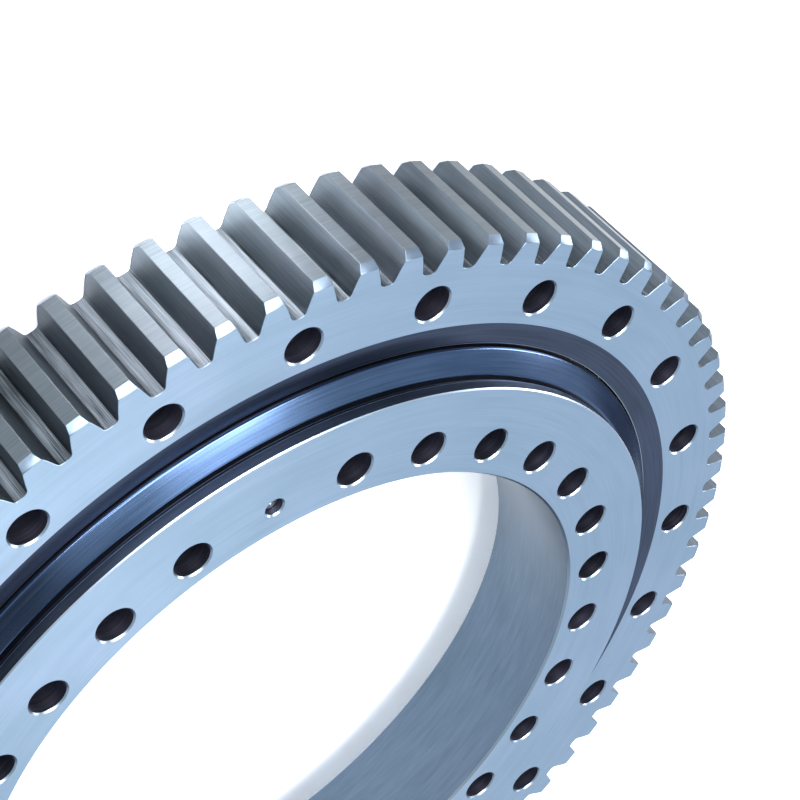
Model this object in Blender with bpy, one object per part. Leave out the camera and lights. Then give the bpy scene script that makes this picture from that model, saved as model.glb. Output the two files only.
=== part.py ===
"""Slewing ring bearing: geared outer ring, inner ring, balls, cage, seals, loading plug and grease nipples.

Metres, +Z along the bearing axis, origin in the middle of the outer ring's lower face.
"""

import math

import bmesh
import bpy
from mathutils import Matrix, Vector

MM = 0.001

# External spur gear
MODULE = 8 * MM
TEETH = 78
PRESSURE_ANGLE = math.radians(20)
TIP_RADIUS = 317.5 * MM
ROOT_RADIUS = 302 * MM
TOOTH_THINNING = 0.9 * MM
TOOTH_END_CHAMFER = 3.2 * MM
FIRST_TOOTH_ANGLE = math.radians(0.73)

# Outer ring
OUTER_HEIGHT = 69 * MM
OUTER_BOLT_CIRCLE = 283 * MM
OUTER_BOLTS = 24
BOLT_HOLE_RADIUS = 10 * MM
LIP_OUTSIDE = 264.5 * MM
LIP_DROP = 1.8 * MM
OUTER_LAND = 253.8 * MM

# Inner ring
INNER_BOTTOM = 19 * MM
INNER_TOP = 84.5 * MM
BORE_RADIUS = 186 * MM
INNER_BOLT_CIRCLE = 204.2 * MM
INNER_POSITIONS = 28
PLUG_ANGLE = math.radians(-23.76)
BOSS_RADIUS = 239.4 * MM
BOSS_CHAMFER = 1.8 * MM
SHOULDER_INSIDE = 241.4 * MM
SHOULDER_TOP = 75.4 * MM
SHOULDER_OUTSIDE = 252.6 * MM
SHOULDER_EDGE = 69.4 * MM
SHOULDER_BOTTOM = 66 * MM
INNER_LAND = 246.4 * MM
BORE_CHAMFER = 1.5 * MM

# Balls and cage
BALLS = 40
BALL_RADIUS = 14 * MM
BALL_CIRCLE = 250 * MM
BALL_HEIGHT = 44 * MM
RACEWAY_RADIUS = 14.6 * MM
CAGE_SEGMENTS = 4
CAGE_INSIDE = 247.9 * MM
CAGE_OUTSIDE = 252.3 * MM
CAGE_HALF_HEIGHT = 16.5 * MM
CAGE_END_GAP = math.radians(0.4)
POCKET_RADIUS = 14.5 * MM

# Seals
SEAL_CLEARANCE = 0.4 * MM
UPPER_SEAL_BOTTOM = 61.6 * MM
UPPER_SEAL_TOP = 65.6 * MM
LOWER_SEAL_BOTTOM = 21.4 * MM
LOWER_SEAL_TOP = 25.4 * MM
SEAL_GROOVE_DEPTH = 2.6 * MM

# Loading plug, its pin and the grease nipples
PLUG_RADIUS = 15 * MM
PIN_RADIUS = 4.5 * MM
PIN_TAPER = 1 / 50
PIN_TOP = 80.5 * MM
PIN_BOTTOM = 22 * MM
NIPPLE_POSITIONS = (-4.5, 4.5, 13.5)
GREASE_HOLE_RADIUS = 2.5 * MM
NIPPLE_THREAD_RADIUS = 4.5 * MM
NIPPLE_THREAD_LENGTH = 9 * MM
NIPPLE_HEX_RADIUS = 6 * MM
NIPPLE_HEAD_LENGTH = 9 * MM

FIT_GAP = 0.3 * MM
CUT_MARGIN = 5 * MM

# Facets of the turned and drilled surfaces
INNER_RING_FACETS = 56
SEAL_FACETS = 60
RACEWAY_FACETS = 6
BOLT_HOLE_FACETS = 12
POCKET_FACETS = 12
PLUG_FACETS = 20
SMOOTH_ANGLE = math.radians(28)


def clear_scene():
    for old in list(bpy.data.objects):
        bpy.data.objects.remove(old, do_unlink=True)


def make_material(name, colour, roughness, metallic):
    material = bpy.data.materials.new(name)
    material.use_nodes = True
    shader = material.node_tree.nodes["Principled BSDF"]
    shader.inputs["Base Color"].default_value = (*colour, 1)
    shader.inputs["Roughness"].default_value = roughness
    shader.inputs["Metallic"].default_value = metallic
    return material


def make_object(name, bm, material=None, smooth=True):
    """Turns the finished bmesh into a named object, closed and facing outwards."""
    bmesh.ops.recalc_face_normals(bm, faces=bm.faces)
    mesh = bpy.data.meshes.new(name)
    bm.to_mesh(mesh)
    bm.free()
    if smooth:
        mesh.shade_smooth()
        mesh.set_sharp_from_angle(angle=SMOOTH_ANGLE)
    if material:
        mesh.materials.append(material)
    piece = bpy.data.objects.new(name, mesh)
    bpy.context.scene.collection.objects.link(piece)
    return piece


def make_cutter(name, bm):
    cutter = make_object(name, bm, smooth=False)
    cutter.hide_render = True
    cutter.display_type = "WIRE"
    return cutter


def cut(piece, cutter, operation="DIFFERENCE"):
    boolean = piece.modifiers.new(cutter.name, "BOOLEAN")
    boolean.operation = operation
    boolean.object = cutter
    boolean.solver = "EXACT"


def make_axis(name):
    """An empty on the bearing axis that carries the pieces that turn together."""
    axis = bpy.data.objects.new(name, None)
    bpy.context.scene.collection.objects.link(axis)
    return axis


def spin_profile(bm, profile, facets, start=0.0, sweep=2 * math.pi):
    """Turns a closed (radius, height) outline about Z: a full ring, or a capped arc."""
    corners = [bm.verts.new((radius, 0, height)) for radius, height in profile]
    bmesh.ops.rotate(bm, verts=corners, matrix=Matrix.Rotation(start, 3, "Z"))
    full = sweep >= 2 * math.pi
    edges = [bm.edges.new(pair) for pair in zip(corners, corners[1:] + corners[:1])]
    if not full:
        bm.faces.new(corners)
    geometry = corners + edges
    spun = bmesh.ops.spin(
        bm, geom=geometry, axis=(0, 0, 1), cent=(0, 0, 0), angle=sweep, steps=facets, use_merge=full
    )
    if not full:
        ends = [item for item in spun["geom_last"] if isinstance(item, bmesh.types.BMVert)]
        bmesh.ops.contextual_create(bm, geom=ends)


def ring_bmesh(profile, facets, start=0.0):
    bm = bmesh.new()
    spin_profile(bm, profile, facets, start)
    return bm


def add_cylinder(bm, radius, start, end, facets, end_radius=None):
    """A closed cylinder or cone between two points."""
    start, end = Vector(start), Vector(end)
    along = end - start
    turn = Vector((0, 0, 1)).rotation_difference(along).to_matrix().to_4x4()
    place = Matrix.Translation((start + end) / 2) @ turn
    bmesh.ops.create_cone(
        bm,
        cap_ends=True,
        segments=facets,
        radius1=radius,
        radius2=radius if end_radius is None else end_radius,
        depth=along.length,
        matrix=place,
    )


def around(radius, angle, height):
    return Vector((radius * math.cos(angle), radius * math.sin(angle), height))


def raceway_arc(land, inner):
    """Points of the round raceway between the two edges where it meets the land, from low to high."""
    reach = abs(land - BALL_CIRCLE)
    half = math.acos(reach / RACEWAY_RADIUS)
    side = -1 if inner else 1
    points = []
    for step in range(RACEWAY_FACETS + 1):
        turn = half * (2 * step / RACEWAY_FACETS - 1)
        radius = BALL_CIRCLE + side * RACEWAY_RADIUS * math.cos(turn)
        points.append((radius, BALL_HEIGHT + RACEWAY_RADIUS * math.sin(turn)))
    return points


def involute(angle):
    return math.tan(angle) - angle


def half_tooth_angle(radius):
    """Half of the angle that one involute tooth takes at a radius."""
    pitch_radius = MODULE * TEETH / 2
    here = math.acos(pitch_radius * math.cos(PRESSURE_ANGLE) / radius)
    at_pitch = math.pi / (2 * TEETH) - TOOTH_THINNING / (2 * pitch_radius)
    return at_pitch + involute(PRESSURE_ANGLE) - involute(here)


def gap_outline():
    """(radius, angle) points of one tooth space, from beyond one tip to beyond the other."""
    half_pitch = math.pi / TEETH
    radii = [TIP_RADIUS + CUT_MARGIN, MODULE * TEETH / 2, ROOT_RADIUS + MODULE / 4]
    side = [(radius, half_pitch - half_tooth_angle(radius)) for radius in radii]
    side.append((ROOT_RADIUS, side[-1][1] * 0.55))
    return [(radius, -angle) for radius, angle in side] + side[::-1]


def tooth_gap_cutter():
    bm = bmesh.new()
    pitch = 2 * math.pi / TEETH
    for tooth in range(TEETH):
        middle = FIRST_TOOTH_ANGLE + (tooth + 0.5) * pitch
        floor = [around(radius, middle + angle, -CUT_MARGIN) for radius, angle in gap_outline()]
        face = bm.faces.new([bm.verts.new(point) for point in floor])
        grown = bmesh.ops.extrude_face_region(bm, geom=[face])
        top = [item for item in grown["geom"] if isinstance(item, bmesh.types.BMVert)]
        bmesh.ops.translate(bm, verts=top, vec=(0, 0, OUTER_HEIGHT + 2 * CUT_MARGIN))
    return make_cutter("cut_tooth_gaps", bm)


def bolt_hole_cutter(name, circle, angles, low, high):
    bm = bmesh.new()
    for angle in angles:
        start = around(circle, angle, low - CUT_MARGIN)
        end = around(circle, angle, high + CUT_MARGIN)
        add_cylinder(bm, BOLT_HOLE_RADIUS, start, end, BOLT_HOLE_FACETS)
    return make_cutter(name, bm)


def outer_gear_ring(material):
    """Turned blank with raceway, lip and seal groove, with the tooth gaps and bolt holes cut out of it."""
    pitch = 2 * math.pi / TEETH
    tip = TIP_RADIUS / math.cos(pitch / 2)
    chamfer = TOOTH_END_CHAMFER
    groove = OUTER_LAND + SEAL_GROOVE_DEPTH
    profile = [
        (tip - chamfer, 0),
        (tip, chamfer),
        (tip, OUTER_HEIGHT - chamfer),
        (tip - chamfer, OUTER_HEIGHT),
        (LIP_OUTSIDE, OUTER_HEIGHT),
        (OUTER_LAND, OUTER_HEIGHT - LIP_DROP),
        *raceway_arc(OUTER_LAND, inner=False)[::-1],
        (OUTER_LAND, LOWER_SEAL_TOP + SEAL_CLEARANCE),
        (groove, LOWER_SEAL_TOP + SEAL_CLEARANCE),
        (groove, LOWER_SEAL_BOTTOM - SEAL_CLEARANCE),
        (OUTER_LAND, LOWER_SEAL_BOTTOM - SEAL_CLEARANCE),
        (OUTER_LAND, 0),
    ]
    start = FIRST_TOOTH_ANGLE + pitch / 2
    ring = make_object("outer_gear_ring", ring_bmesh(profile, TEETH, start), material)
    cut(ring, tooth_gap_cutter())
    angles = [2 * math.pi * hole / OUTER_BOLTS for hole in range(OUTER_BOLTS)]
    cut(ring, bolt_hole_cutter("cut_outer_bolts", OUTER_BOLT_CIRCLE, angles, 0, OUTER_HEIGHT))
    return ring


def inner_profile():
    neck = SHOULDER_OUTSIDE - SEAL_GROOVE_DEPTH
    return [
        (BORE_RADIUS, INNER_BOTTOM + BORE_CHAMFER),
        (BORE_RADIUS, INNER_TOP - BORE_CHAMFER),
        (BORE_RADIUS + BORE_CHAMFER, INNER_TOP),
        (BOSS_RADIUS - BOSS_CHAMFER, INNER_TOP),
        (BOSS_RADIUS, INNER_TOP - BOSS_CHAMFER),
        (BOSS_RADIUS, SHOULDER_TOP),
        (SHOULDER_INSIDE, SHOULDER_TOP),
        (SHOULDER_OUTSIDE, SHOULDER_EDGE),
        (SHOULDER_OUTSIDE, SHOULDER_BOTTOM),
        (neck, SHOULDER_BOTTOM),
        (neck, UPPER_SEAL_BOTTOM - SEAL_CLEARANCE),
        (INNER_LAND, UPPER_SEAL_BOTTOM - SEAL_CLEARANCE),
        *raceway_arc(INNER_LAND, inner=True)[::-1],
        (INNER_LAND, INNER_BOTTOM),
        (BORE_RADIUS + BORE_CHAMFER, INNER_BOTTOM),
    ]


def plug_cylinder(radius):
    """The radial hole through the inner ring that the balls are filled through."""
    bm = bmesh.new()
    start = around(BORE_RADIUS - CUT_MARGIN, PLUG_ANGLE, BALL_HEIGHT)
    end = around(BALL_CIRCLE, PLUG_ANGLE, BALL_HEIGHT)
    add_cylinder(bm, radius, start, end, PLUG_FACETS)
    return bm


def pin_hole_cutter():
    bm = bmesh.new()
    start = around(INNER_BOLT_CIRCLE, PLUG_ANGLE, INNER_BOTTOM - CUT_MARGIN)
    end = around(INNER_BOLT_CIRCLE, PLUG_ANGLE, INNER_TOP + CUT_MARGIN)
    add_cylinder(bm, PIN_RADIUS + FIT_GAP, start, end, BOLT_HOLE_FACETS)
    return make_cutter("cut_pin_hole", bm)


def nipple_angle(position):
    return PLUG_ANGLE + position * 2 * math.pi / INNER_POSITIONS


def grease_hole_cutters():
    """One cutter for the narrow grease ways to the raceway, one for the threaded mouths."""
    ways, mouths = bmesh.new(), bmesh.new()
    for position in NIPPLE_POSITIONS:
        angle = nipple_angle(position)
        bore = around(BORE_RADIUS - CUT_MARGIN, angle, BALL_HEIGHT)
        depth = BORE_RADIUS + NIPPLE_THREAD_LENGTH + FIT_GAP
        add_cylinder(ways, GREASE_HOLE_RADIUS, bore, around(BALL_CIRCLE, angle, BALL_HEIGHT), 8)
        mouth = NIPPLE_THREAD_RADIUS + FIT_GAP
        add_cylinder(mouths, mouth, bore, around(depth, angle, BALL_HEIGHT), BOLT_HOLE_FACETS)
    return make_cutter("cut_grease_ways", ways), make_cutter("cut_nipple_mouths", mouths)


def inner_ring(axis, material, pin_cutter):
    """Turned ring with its bolt holes, ball filling hole, pin hole and grease holes."""
    pitch = 2 * math.pi / INNER_POSITIONS
    start = PLUG_ANGLE + pitch / 4
    ring = make_object("inner_ring", ring_bmesh(inner_profile(), INNER_RING_FACETS, start), material)
    angles = [PLUG_ANGLE + pitch * hole for hole in range(1, INNER_POSITIONS)]
    cut(
        ring,
        bolt_hole_cutter("cut_inner_bolts", INNER_BOLT_CIRCLE, angles, INNER_BOTTOM, INNER_TOP),
    )
    cut(ring, make_cutter("cut_filling_hole", plug_cylinder(PLUG_RADIUS + FIT_GAP)))
    cut(ring, pin_cutter)
    for cutter in grease_hole_cutters():
        cut(ring, cutter)
    ring.parent = axis
    return ring


def loading_plug(axis, material, pin_cutter):
    """The plug has the ring's own section, so its outer end carries on the raceway."""
    plug = make_object("loading_plug", plug_cylinder(PLUG_RADIUS), material)
    start = PLUG_ANGLE + math.pi / INNER_RING_FACETS
    blank = make_cutter("keep_ring_section", ring_bmesh(inner_profile(), INNER_RING_FACETS, start))
    cut(plug, blank, "INTERSECT")
    cut(plug, pin_cutter)
    plug.parent = axis


def plug_taper_pin(axis, material):
    bm = bmesh.new()
    start = around(INNER_BOLT_CIRCLE, PLUG_ANGLE, PIN_BOTTOM)
    end = around(INNER_BOLT_CIRCLE, PLUG_ANGLE, PIN_TOP)
    small = PIN_RADIUS - (PIN_TOP - PIN_BOTTOM) * PIN_TAPER / 2
    add_cylinder(bm, small, start, end, BOLT_HOLE_FACETS, end_radius=PIN_RADIUS)
    make_object("plug_taper_pin", bm, material).parent = axis


def grease_nipples(axis, material):
    """Thread, hexagon and domed head, turned about the nipple's own axis and pointing into the bore."""
    head = NIPPLE_HEAD_LENGTH
    profile = [
        (0, -NIPPLE_THREAD_LENGTH),
        (NIPPLE_THREAD_RADIUS, -NIPPLE_THREAD_LENGTH),
        (NIPPLE_THREAD_RADIUS, FIT_GAP),
        (NIPPLE_HEX_RADIUS, FIT_GAP),
        (NIPPLE_HEX_RADIUS, 0.45 * head),
        (NIPPLE_HEX_RADIUS * 0.45, 0.55 * head),
        (NIPPLE_HEX_RADIUS * 0.45, 0.7 * head),
        (NIPPLE_HEX_RADIUS * 0.55, 0.8 * head),
        (NIPPLE_HEX_RADIUS * 0.3, head),
        (0, head),
    ]
    for number, position in enumerate(NIPPLE_POSITIONS, 1):
        bm = bmesh.new()
        corners = [bm.verts.new((radius, 0, height)) for radius, height in profile]
        edges = [bm.edges.new(pair) for pair in zip(corners, corners[1:])]
        bmesh.ops.spin(
            bm, geom=corners + edges, axis=(0, 0, 1), cent=(0, 0, 0), angle=2 * math.pi, steps=6
        )
        bmesh.ops.remove_doubles(bm, verts=bm.verts, dist=0.01 * MM)
        nipple = make_object(f"grease_nipple_{number}", bm, material, smooth=False)
        angle = nipple_angle(position)
        nipple.location = around(BORE_RADIUS, angle, BALL_HEIGHT)
        nipple.rotation_euler = (0, -math.pi / 2, angle)
        nipple.parent = axis


def balls(axis, material):
    bm = bmesh.new()
    bmesh.ops.create_icosphere(bm, subdivisions=2, radius=BALL_RADIUS)
    first = make_object("ball_01", bm, material)
    for number in range(1, BALLS + 1):
        ball = first if number == 1 else bpy.data.objects.new(f"ball_{number:02d}", first.data)
        if number > 1:
            bpy.context.scene.collection.objects.link(ball)
        angle = 2 * math.pi * (number - 0.5) / BALLS
        ball.location = around(BALL_CIRCLE, angle, BALL_HEIGHT)
        ball.parent = axis


def cage_segments(axis, material):
    """Curved strips with one flat facet and one round pocket for each ball."""
    low, high = BALL_HEIGHT - CAGE_HALF_HEIGHT, BALL_HEIGHT + CAGE_HALF_HEIGHT
    profile = [(CAGE_INSIDE, low), (CAGE_OUTSIDE, low), (CAGE_OUTSIDE, high), (CAGE_INSIDE, high)]
    per_segment = BALLS // CAGE_SEGMENTS
    ball_pitch = 2 * math.pi / BALLS
    for number in range(1, CAGE_SEGMENTS + 1):
        start = (number - 1) * per_segment * ball_pitch
        bm = bmesh.new()
        sweep = per_segment * ball_pitch - CAGE_END_GAP
        spin_profile(bm, profile, per_segment, start + CAGE_END_GAP / 2, sweep)
        segment = make_object(f"cage_segment_{number}", bm, material, smooth=False)
        pockets = bmesh.new()
        for pocket in range(per_segment):
            angle = start + (pocket + 0.5) * ball_pitch
            inside = around(CAGE_INSIDE - CUT_MARGIN, angle, BALL_HEIGHT)
            outside = around(CAGE_OUTSIDE + CUT_MARGIN, angle, BALL_HEIGHT)
            add_cylinder(pockets, POCKET_RADIUS, inside, outside, POCKET_FACETS)
        cut(segment, make_cutter(f"cut_pockets_{number}", pockets))
        segment.parent = axis


def seals(inner_axis, material):
    """Rubber rings: the upper one sits on the inner ring's neck, the lower one in the outer ring's groove."""
    neck = SHOULDER_OUTSIDE - SEAL_GROOVE_DEPTH + SEAL_CLEARANCE
    lip = OUTER_LAND - 2 * SEAL_CLEARANCE
    middle = (UPPER_SEAL_BOTTOM + UPPER_SEAL_TOP) / 2
    upper = [
        (neck, UPPER_SEAL_BOTTOM),
        (lip - 1 * MM, UPPER_SEAL_BOTTOM),
        (lip, middle),
        (lip - 1 * MM, UPPER_SEAL_TOP),
        (neck, UPPER_SEAL_TOP),
    ]
    make_object("upper_seal", ring_bmesh(upper, SEAL_FACETS), material).parent = inner_axis
    back = OUTER_LAND + SEAL_GROOVE_DEPTH - 2 * SEAL_CLEARANCE
    wipe = INNER_LAND + SEAL_CLEARANCE * 2
    middle = (LOWER_SEAL_BOTTOM + LOWER_SEAL_TOP) / 2
    lower = [
        (back, LOWER_SEAL_BOTTOM),
        (back, LOWER_SEAL_TOP),
        (wipe + 1 * MM, LOWER_SEAL_TOP),
        (wipe, middle),
        (wipe + 1 * MM, LOWER_SEAL_BOTTOM),
    ]
    make_object("lower_seal", ring_bmesh(lower, SEAL_FACETS), material)


def main():
    clear_scene()
    ring_steel = make_material("ring_steel", (0.46, 0.55, 0.63), 0.32, 1)
    ball_steel = make_material("ball_steel", (0.62, 0.64, 0.66), 0.12, 1)
    plug_steel = make_material("plug_steel", (0.4, 0.44, 0.48), 0.4, 1)
    nylon = make_material("cage_nylon", (0.75, 0.72, 0.62), 0.5, 0)
    rubber = make_material("seal_rubber", (0.02, 0.02, 0.022), 0.6, 0)
    brass = make_material("nipple_brass", (0.7, 0.55, 0.28), 0.35, 1)

    inner_axis = make_axis("inner_ring_axis")
    ball_axis = make_axis("ball_set_axis")
    outer_gear_ring(ring_steel)
    pin_cutter = pin_hole_cutter()
    inner_ring(inner_axis, ring_steel, pin_cutter)
    loading_plug(inner_axis, plug_steel, pin_cutter)
    plug_taper_pin(inner_axis, plug_steel)
    grease_nipples(inner_axis, brass)
    balls(ball_axis, ball_steel)
    cage_segments(ball_axis, nylon)
    seals(inner_axis, rubber)


main()
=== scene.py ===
"""Slewing ring bearing: fine surfaces, machined finishes and a studio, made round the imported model.

Laid out as an add-on and run as a script: main() registers the classes and calls every operator in turn.
"""

import math

import bmesh
import bpy
import numpy as np
from bpy.props import FloatProperty, FloatVectorProperty, IntProperty, PointerProperty
from bpy.types import Operator, Panel, PropertyGroup
from mathutils import Matrix, Vector


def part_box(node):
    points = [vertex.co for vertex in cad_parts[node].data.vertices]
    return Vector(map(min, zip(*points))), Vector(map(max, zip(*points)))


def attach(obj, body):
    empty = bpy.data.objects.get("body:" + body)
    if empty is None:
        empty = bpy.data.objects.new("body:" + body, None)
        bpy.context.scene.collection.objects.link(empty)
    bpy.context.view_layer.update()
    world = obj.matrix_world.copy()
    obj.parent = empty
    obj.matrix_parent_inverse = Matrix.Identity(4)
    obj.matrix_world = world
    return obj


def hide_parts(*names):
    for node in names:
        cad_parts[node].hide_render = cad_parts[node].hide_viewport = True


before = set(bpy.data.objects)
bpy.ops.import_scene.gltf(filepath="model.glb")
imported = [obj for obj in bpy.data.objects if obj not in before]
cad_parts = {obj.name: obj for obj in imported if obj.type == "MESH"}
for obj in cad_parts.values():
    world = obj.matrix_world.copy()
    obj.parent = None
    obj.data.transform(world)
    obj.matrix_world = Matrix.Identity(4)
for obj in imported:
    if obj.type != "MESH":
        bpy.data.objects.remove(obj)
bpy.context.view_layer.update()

bl_info = {
    "name": "Slewing Ring Bearing",
    "version": (1, 0, 0),
    "blender": (4, 5, 0),
    "location": "View3D > Sidebar > Slewing Ring",
    "description": "Builds a geared slewing ring bearing with machined steel finishes",
    "category": "Add Mesh",
}

MM = 0.001
TURN = 2 * math.pi
OUTER_LOW, OUTER_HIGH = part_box("outer_gear_ring")
INNER_LOW, INNER_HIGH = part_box("inner_ring")
BALL_LOW, BALL_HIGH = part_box("ball_01")
UPPER_SEAL_LOW, UPPER_SEAL_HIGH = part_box("upper_seal")
LOWER_SEAL_LOW, LOWER_SEAL_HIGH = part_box("lower_seal")
PIN_LOW, PIN_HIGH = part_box("plug_taper_pin")
BALLS = sorted(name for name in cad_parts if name.startswith("ball_"))
CAGE_NODES = sorted(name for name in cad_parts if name.startswith("cage_segment_"))
NIPPLE_NODES = sorted(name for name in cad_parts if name.startswith("grease_nipple_"))
BALL_MIDDLE = (BALL_LOW.z + BALL_HIGH.z) / 2
MERGE_DISTANCE = 0.002 * MM
SMOOTH_ANGLE = math.radians(24)
POINTS_PER_TOOTH = 16
FILLET_POINTS = 3
FLANK_POINTS = 3
WALL_STEPS = 3
# Strips of a tooth space and its tooth: finish, first and last point on the outline.
TOOTH_STRIPS = (
    ("root", -3, 3),
    ("flank", 3, 6),
    ("tip", 6, 7),
    ("tip", 7, 9),
    ("tip", 9, 10),
    ("flank", 10, 13),
)
OUTER_FACE_ROWS = 8
INNER_FACE_ROWS = 10
INNER_COLUMNS = 40
BORE_ROWS = 8
NIPPLE_CELLS = (-9, 9, 27)
BALL_COLUMNS = 32
CAGE_COLUMNS = 16
CAGE_ROWS = 8
SEAL_COLUMNS = 360
PLUG_COLUMNS = 48
PIN_COLUMNS = 32
NIPPLE_COLUMNS = 36
BLEND_STEPS = 6
HOLE_ROOM = 1 * MM
PIN_HOLE_ROOM = 2 * MM
UNDERCUT_ROUND = 0.3 * MM
PLUG_FACE_RING = 0.7
PLUG_THREAD_STEPS = 28
PLUG_THREAD_STEP = 0.75 * MM
PLUG_THREAD_DEPTH = 0.6 * MM
PLUG_DRILL_POINT = 3 * MM
NIPPLE_THREAD_STEPS = 10
NIPPLE_THREAD_STEP = 0.9 * MM
NIPPLE_THREAD_DEPTH = 0.5 * MM
NIPPLE_HEX_POINTS = 4
SEAL_BODY_SHARE = 0.55
PIN_TAPER = 100
FLOOR_RADIUS = 9.0
FLOOR_GAP = 0.5 * MM
FLOOR_COLUMNS = 64
# The light of the sky: share of the way from straight down to straight up, linear colour.
SKY = (
    (0.0, (0.85, 0.87, 0.90)),
    (0.48, (0.30, 0.33, 0.40)),
    (0.5, (0.09, 0.11, 0.17)),
    (0.63, (0.12, 0.15, 0.22)),
    (0.69, (0.68, 0.79, 0.91)),
    (0.745, (0.80, 0.90, 1.0)),
    (0.79, (0.52, 0.62, 0.72)),
    (0.84, (0.52, 0.62, 0.72)),
    (0.89, (0.82, 0.92, 0.98)),
    (1.0, (0.86, 0.95, 1.0)),
)
BACKDROP = (0.93, 0.95, 0.97)
# The flag darkens directions by their Y on a hard and a soft side, and by the size of their X.
FLAG_SIDE = (0.1, 0.15)
FLAG_FADE = (0.66, 0.3)
FLAG_WIDTH = (0.5, 0.3)
FLAG_STRENGTH = 0.9
# The bright spot: axis, outer and inner angle in degrees, strength.
BRIGHT_SPOT = ((-0.06, -0.26, 0.964), 11, 2, 2.8)
# Soft lights: name, azimuth, elevation, distance, width, depth, power and tint.
LIGHTS = (
    ("key_behind_camera", -40, 58, 2.8, 1.6, 1.6, 95),
    ("window_left", -115, 20, 2.6, 0.9, 0.7, 24),
    ("through_the_bore", -8, 21, 2.2, 1.0, 0.35, 18),
    ("soft_top_rear", 150, 64, 3.0, 1.6, 1.2, 16, (0.95, 0.98, 1.0)),
)
# The light beside the teeth: name, place, target, diameter, spread in degrees, power.
TEETH_LIGHT = ("teeth_light", (0.47, -0.21, 0.34), (0.325, -0.17, 0.0), 0.06, 28, 0.5)
WARM_SHIFT = (1.05, 0.985, 1.01)
# How much the fine marks, the wide marks and the patches of handling count in a cut surface.
MARK_WEIGHTS = (0.45, 0.25, 0.3)
# Marks that run round the axis: fine runs round the ring, how much wider the wide marks are, wide runs.
ROUND_MARKS = {"face": (5, 7, 3), "wall": (9, 6, 4)}
# Marks along the axis: how long the fine ones are, how much wider and how long the wide ones are.
AXIS_MARKS = (45, 5, 0.03)
PATCH_SIZE = 0.06
HAZE_SIZE = 0.004
CLOUD_SIZE = 0.02
FLOOR_CLOUD_SIZE = 0.4


def length(name, description, default):
    """A property in metres."""
    return FloatProperty(
        name=name, description=description, default=default, min=0, subtype="DISTANCE", unit="LENGTH"
    )


def angle(name, description, degrees):
    """A property that is shown in degrees and kept in radians."""
    return FloatProperty(
        name=name, description=description, default=math.radians(degrees), subtype="ANGLE", unit="ROTATION"
    )


def colour(name, description, default):
    """A linear colour property."""
    return FloatVectorProperty(
        name=name, description=description, default=default, min=0, max=1, size=3, subtype="COLOR"
    )


def share(name, description, default):
    """A plain factor from 0 to 1."""
    return FloatProperty(name=name, description=description, default=default, min=0, max=1)


class GearSizes(PropertyGroup):
    """Sizes of the gear teeth."""

    module: length("Module", "Pitch diameter over the number of teeth", 8 * MM)
    teeth: IntProperty(name="Teeth", description="Number of gear teeth", default=78, min=12)
    pressure_angle: angle("Pressure angle", "Slope of the involute at the pitch circle", 20)
    tip_radius: length("Tip radius", "Radius over the tooth tips", 317.5 * MM)
    root_radius: length("Root radius", "Radius at the bottom of the tooth spaces", 302 * MM)
    thinning: length("Thinning", "Tooth thickness taken off for backlash", 0.9 * MM)
    root_fillet: length("Root fillet", "Radius between flank and root", 2.4 * MM)
    end_chamfer: length("End chamfer", "Chamfer of the tooth ends", 3.3 * MM)
    edge_break: length("Edge break", "Small bevel along sharp gear edges", 0.2 * MM)
    first_tooth: angle("First tooth", "Angle of the first tooth from +X", 0.73)


class OuterRingSizes(PropertyGroup):
    """Sizes of the outer ring apart from its teeth."""

    bolts: IntProperty(name="Bolt holes", description="Holes in the outer ring", default=24, min=3)
    bolt_circle: length("Bolt circle", "Radius of the bolt circle", 283 * MM)
    hole_radius: length("Hole radius", "Radius of a bolt hole", 10 * MM)
    hole_chamfer: length("Hole chamfer", "Countersink of a bolt hole", 0.8 * MM)
    web_radius: length("Web radius", "Where the drilled face meets the gear rim", 296 * MM)
    lip_outside: length("Lip outside", "Where the flat face ends and the sloping lip starts", 264.5 * MM)
    lip_drop: length("Lip drop", "How far the lip slopes down", 1.8 * MM)
    lip_round: length("Lip round", "Soft round between face and lip", 2.8 * MM)
    lip_edge: length("Lip edge", "Bright broken edge at the end of the lip", 0.5 * MM)
    land: length("Land", "Radius of the wall round the gap", 253.8 * MM)
    foot_chamfer: length("Foot chamfer", "Chamfer of the hidden lower edges", 0.8 * MM)
    groove_depth: length("Groove depth", "Depth of the seal grooves", 2.6 * MM)
    groove_play: length("Groove play", "Room above and below a seal", 0.4 * MM)


class InnerRingSizes(PropertyGroup):
    """Sizes of the inner ring."""

    positions: IntProperty(name="Positions", description="Bolt holes and the pin hole", default=28, min=3)
    bolt_circle: length("Bolt circle", "Radius of the bolt circle", 204.2 * MM)
    bore_radius: length("Bore radius", "Radius of the bore", 186 * MM)
    bore_chamfer: length("Bore chamfer", "Chamfer of the bore edges", 1.2 * MM)
    plug_angle: angle("Plug angle", "Direction of the loading plug from +X", -23.76)
    pin_hole: length("Pin hole", "Radius of the small hole for the taper pin", 4.9 * MM)
    boss_radius: length("Boss radius", "Radius of the raised face", 239.4 * MM)
    boss_chamfer: length("Boss chamfer", "Chamfer of the raised face", 0.65 * MM)
    undercut_top: length("Undercut top", "Top of the thin groove at the foot of the boss", 78 * MM)
    undercut_depth: length("Undercut depth", "Depth of the thin groove", 1.8 * MM)
    undercut_lip: length("Undercut lip", "Bright broken edge over the thin groove", 0.5 * MM)
    shoulder_top: length("Shoulder top", "Height where the sloping shoulder starts", 75.4 * MM)
    shoulder_inside: length("Shoulder inside", "Inner radius of the sloping shoulder", 241.2 * MM)
    shoulder_outside: length("Shoulder outside", "Outer radius of the sloping shoulder", 252.6 * MM)
    shoulder_edge: length("Shoulder edge", "Height where the sloping shoulder ends", 69.4 * MM)
    shoulder_bottom: length("Shoulder bottom", "Underside of the shoulder", 66 * MM)
    shoulder_round: length("Shoulder round", "Soft round at both edges of the slope", 0.9 * MM)
    land: length("Land", "Radius beside the raceway", 246.4 * MM)


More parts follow.
